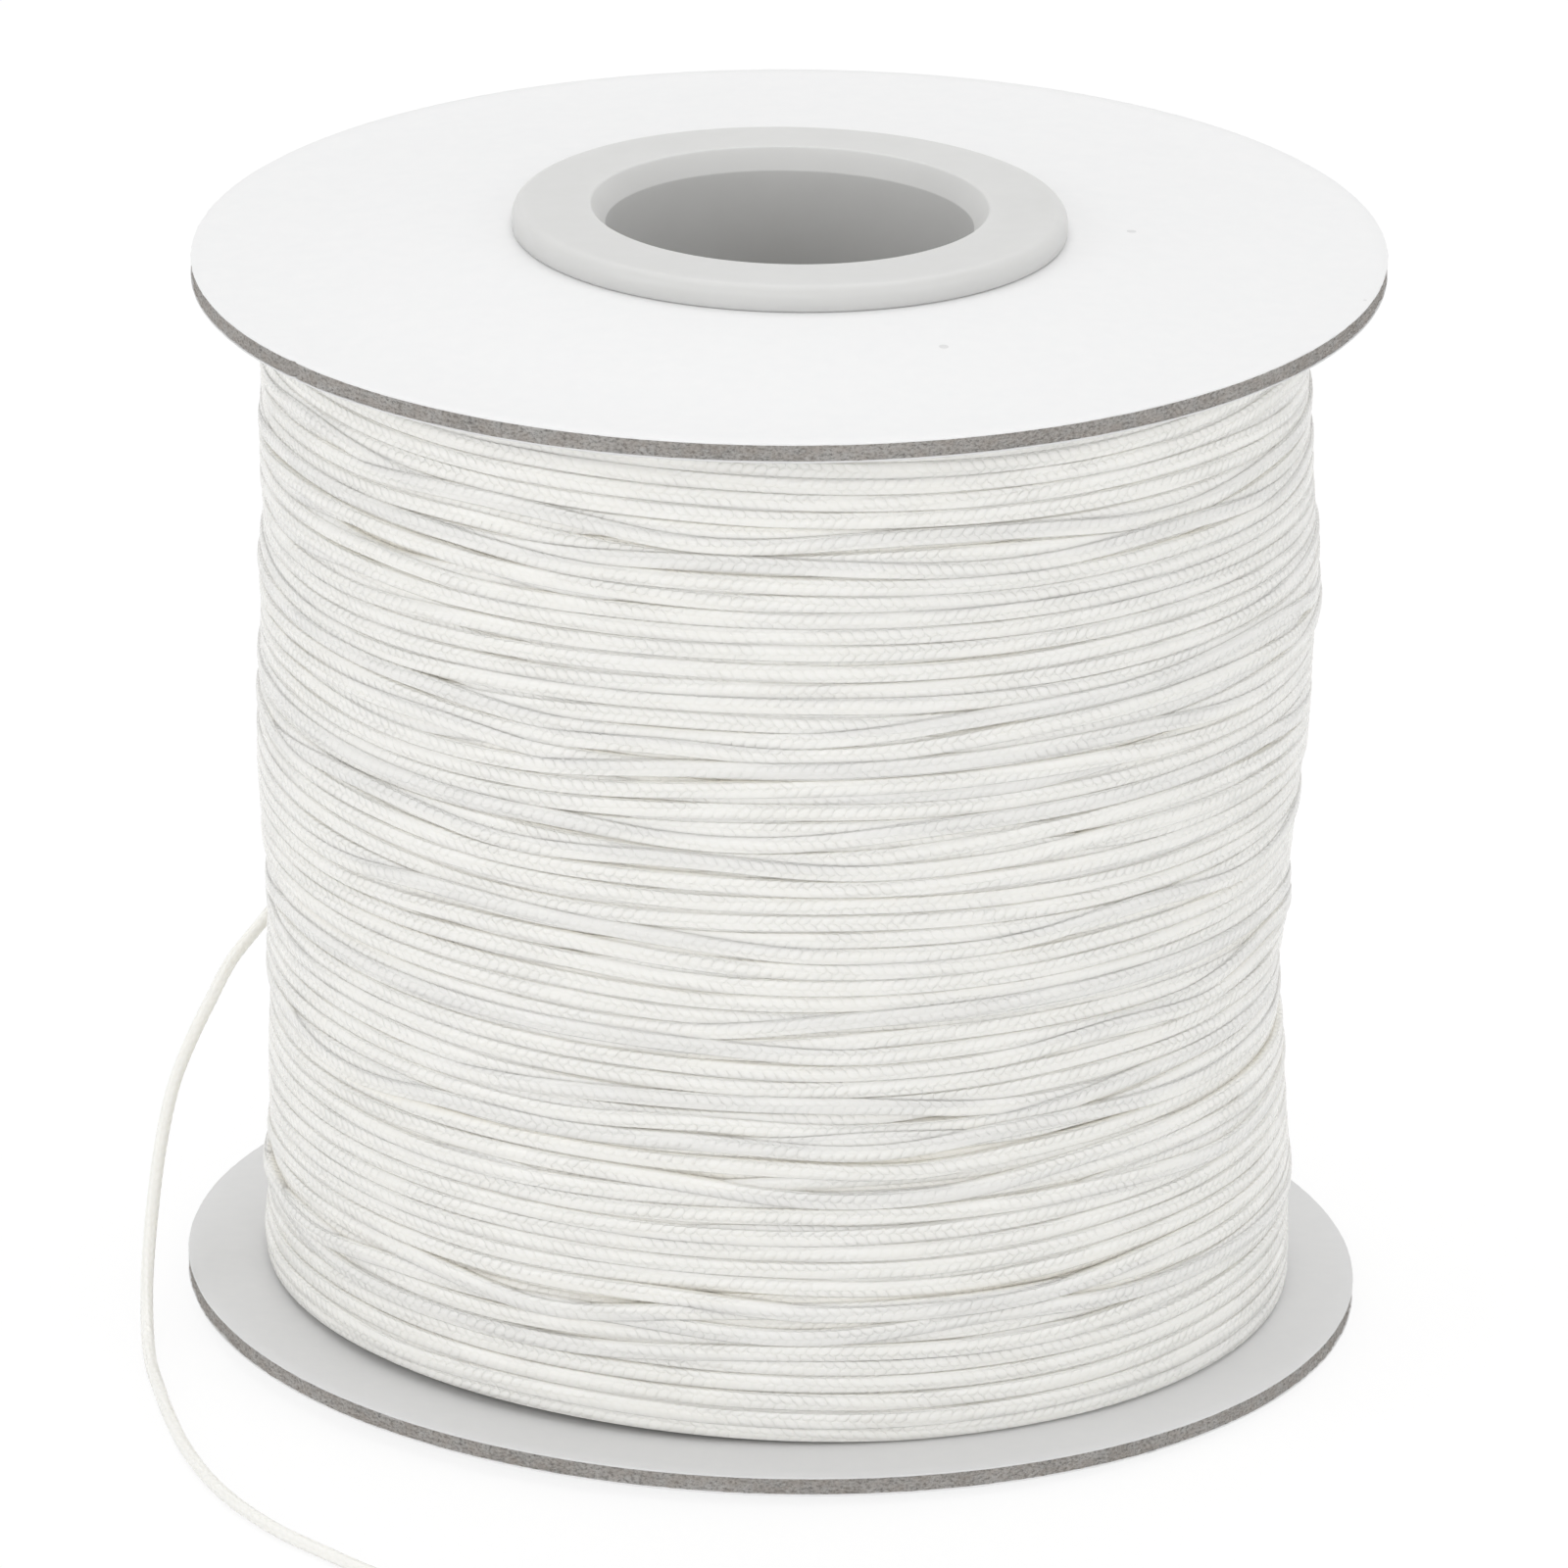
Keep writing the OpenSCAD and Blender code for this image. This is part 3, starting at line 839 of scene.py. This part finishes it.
def flange(side, warp, materials, seed):
    """One card flange: the board and the paper on each face of it, all warped alike."""
    rng = np.random.default_rng(seed)
    for paper in ("outer_paper", "inner_paper"):
        node = f"{side}_flange_{paper}"
        low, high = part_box(node)
        soft = 0.04 * MM
        faces_up = (side == "top") == (paper == "outer_paper")
        inset = np.array([0.02, 0.0, 0.02, 0.1] if faces_up else [0.1, 0.02, 0.0, 0.02]) * MM
        rim = list(zip(FLANGE_R - inset, [low.z, low.z + soft, high.z - soft, high.z]))
        radii = np.linspace(RIM_R - 1 * MM, FLANGE_R - 1 * MM, 12)
        profile = ([(HOLE_R, low.z)] + [(r, low.z) for r in radii] + rim
                   + [(r, high.z) for r in radii[::-1]] + [(HOLE_R, high.z)])
        rows = len(profile)
        relief = edge_relief(rng, rows, slice(13, 17), 0.02 * MM, 0.12 * MM if side == "top" else 0.0)
        piece = lathe(f"{side}_{paper}", profile, 1400, relief, warp)
        finish_piece(piece, materials[paper], "white_paper", node)
    node = f"{side}_flange_board"
    low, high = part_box(node)
    edge = [(FLANGE_R - 0.03 * MM, z) for z in np.linspace(low.z, high.z, 9)]
    radii = np.linspace(RIM_R - 1 * MM, FLANGE_R - 1 * MM, 8)
    profile = ([(HOLE_R, low.z)] + [(r, low.z) for r in radii] + edge
               + [(r, high.z) for r in radii[::-1]] + [(HOLE_R, high.z)])
    relief = edge_relief(rng, len(profile), slice(9, 18), 0.09 * MM, 0.2 * MM if side == "top" else 0.0)
    piece = lathe(f"{side}_board", profile, 1800, relief, warp, crease=70)
    finish_piece(piece, materials["board"], "grey_board", node)


def bush_profile():
    """The bush's outline as (radius, height) from the seat of its rim, with every moulded edge softened."""
    soft = 0.12 * MM
    return ([(BORE_R, -NECK_LEN + soft), (BORE_R + soft, -NECK_LEN), (NECK_R - 0.6 * MM, -NECK_LEN),
             (NECK_R, -NECK_LEN + 0.6 * MM), (NECK_R, -0.3 * MM), (NECK_R, 0.0)]
            + [(RIM_R - 0.15 * MM, 0.0), (RIM_R, 0.15 * MM)]
            + arc((RIM_R - 0.8 * MM, RIM_H - 0.8 * MM), 0.8 * MM, 0, 90, 12)
            + [(RIM_R - 2.5 * MM, RIM_H)]
            + arc((BORE_R + MOUTH_W + 0.25 * MM, RIM_H - 0.25 * MM), 0.25 * MM, 90, 150, 6)
            + arc((BORE_R + 0.25 * MM, RIM_H - MOUTH_H - 0.1 * MM), 0.25 * MM, 150, 180, 4)
            + [(BORE_R, -6 * MM)])


def bushes(material):
    """The two plastic bushes: the same outline, seated on the top flange and, upside down, on the bottom."""
    seat = REEL_H - RIM_H
    for name, flip in (("top_hub", 1), ("bottom_hub", -1)):
        base = seat if flip > 0 else RIM_H
        profile = [(r, base + flip * z) for r, z in bush_profile()]
        piece = lathe(f"{name}_bush", profile, 180, crease=50)
        finish_piece(piece, material, "hub_plastic", name)


def tube(material):
    """The paperboard tube, with the groove of its spiral ply wound along the inside."""
    low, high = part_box("core_tube")
    heights = np.linspace(low.z, high.z, 90)
    profile = [(HOLE_R, z) for z in heights] + [(TUBE_R, z) for z in heights[::-1][::6]]
    lead = 42 * MM

    def relief(angle):
        z = np.array([p[1] for p in profile])[:, None]
        away = ((z / lead - angle / (2 * np.pi)) % 1 - 0.5) * lead
        inside = (np.array([p[0] for p in profile]) < TUBE_R - 1 * MM)[:, None]
        groove = 0.25 * MM * np.exp(-(away / (0.5 * MM)) ** 2) * inside
        return groove, np.zeros_like(groove)
    piece = lathe("core_tube_board", profile, 180, relief)
    finish_piece(piece, material, "tube_board", "core_tube")


# --- Floor, light and world ----------------------------------------------------------------------------

def seen_directly(tree):
    """1 for what the camera, a gloss or a clear thing sees, and 0 for what only lights the reel."""
    path = put(tree, "ShaderNodeLightPath").outputs
    mirrored = sum_up(tree, "MAXIMUM", path["Is Glossy Ray"], path["Is Transmission Ray"])
    return sum_up(tree, "MAXIMUM", path["Is Camera Ray"], mirrored)


def see_white(tree, surface, strength):
    """Adds plain white, as far as `strength`, to what is seen directly of a surface."""
    seen = seen_directly(tree)
    glow = put(tree, "ShaderNodeEmission", {"Color": (1, 1, 1, 1), "Strength": 1.05})
    mixer = put(tree, "ShaderNodeMixShader", {0: sum_up(tree, "MULTIPLY", seen, strength)})
    tree.links.new(surface, mixer.inputs[1])
    tree.links.new(glow.outputs[0], mixer.inputs[2])
    return mixer.outputs[0]


def make_floor():
    """A plain pale floor that the reel stands on."""
    mesh = bpy.data.meshes.new("floor")
    half = 4.0
    corners = [(-half, -half, 0), (half, -half, 0), (half, half, 0), (-half, half, 0)]
    mesh.from_pydata(corners, [], [(0, 1, 2, 3)])
    floor = bpy.data.objects.new("floor", mesh)
    bpy.context.scene.collection.objects.link(floor)
    material, tree, shader = new_material("floor")
    shader.inputs["Base Color"].default_value = (0.9, 0.9, 0.9, 1)
    shader.inputs["Roughness"].default_value = 0.9
    shader.inputs["Specular IOR Level"].default_value = 0.1
    output = tree.nodes["Material Output"]
    tree.links.new(see_white(tree, shader.outputs[0], 0.8), output.inputs["Surface"])
    mesh.materials.append(material)


def make_light():
    """Three big soft boxes in front, one overhead a little behind, and an even pale surround."""
    world = bpy.data.worlds.new("surround")
    bpy.context.scene.world = world
    world.use_nodes = True
    tree = world.node_tree
    surround = tree.nodes["Background"]
    surround.inputs["Color"].default_value = (1, 1, 1, 1)
    surround.inputs["Strength"].default_value = 0.5
    white = put(tree, "ShaderNodeBackground", {"Color": (1, 1, 1, 1), "Strength": 1.0})
    mixer = put(tree, "ShaderNodeMixShader", {0: seen_directly(tree)})
    tree.links.new(surround.outputs[0], mixer.inputs[1])
    tree.links.new(white.outputs[0], mixer.inputs[2])
    tree.links.new(mixer.outputs[0], tree.nodes["World Output"].inputs["Surface"])
    middle = Vector((0, 0, REEL_H / 2))
    for name, azimuth, elevation, away, size, power in [
            ("left_box", -60, 12, 1.6, (0.85, 1.5), 7.4),
            ("right_box", 60, 12, 1.6, (0.85, 1.5), 5.8),
            ("front_box", 0, 18, 1.6, (0.9, 0.9), 3.4),
            ("top_box", 180, 75, 1.6, (1.8, 1.8), 12.8)]:
        a, e = math.radians(azimuth), math.radians(elevation)
        back = Vector((math.sin(a) * math.cos(e), -math.cos(a) * math.cos(e), math.sin(e)))
        data = bpy.data.lights.new(name, "AREA")
        data.shape = "RECTANGLE"
        data.size, data.size_y = size
        data.energy = power
        lamp = bpy.data.objects.new(name, data)
        bpy.context.scene.collection.objects.link(lamp)
        lamp.location = middle + back * away
        lamp.rotation_mode = "QUATERNION"
        lamp.rotation_quaternion = (-back).to_track_quat("-Z", "Y")


# --- Making it -----------------------------------------------------------------------------------------

bpy.context.scene.view_settings.view_transform = "Standard"
make_camera()
free_end(thread_material("waxed_thread_free", 0.02 * MM))
thread_length = wind_thread(thread_material("waxed_thread", 0.13 * MM))
print(f"thread in the winding: {thread_length:.1f} m")
# The inner papers are the same paper as the outer ones, made darker (0.76 against 0.885) as painted shade
# from the flanges and the winding.
cards = {"outer_paper": paper_material("outer_paper", 0.885),
         "inner_paper": paper_material("inner_paper", 0.76), "board": board_material()}
flange("top", TOP_WARP, cards, 3)
flange("bottom", BOTTOM_WARP, cards, 5)
bushes(plastic_material())
tube(tube_material())
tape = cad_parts["start_tape"]
tape.data.materials.clear()
tape.data.materials.append(tape_material())
make_floor()
make_light()
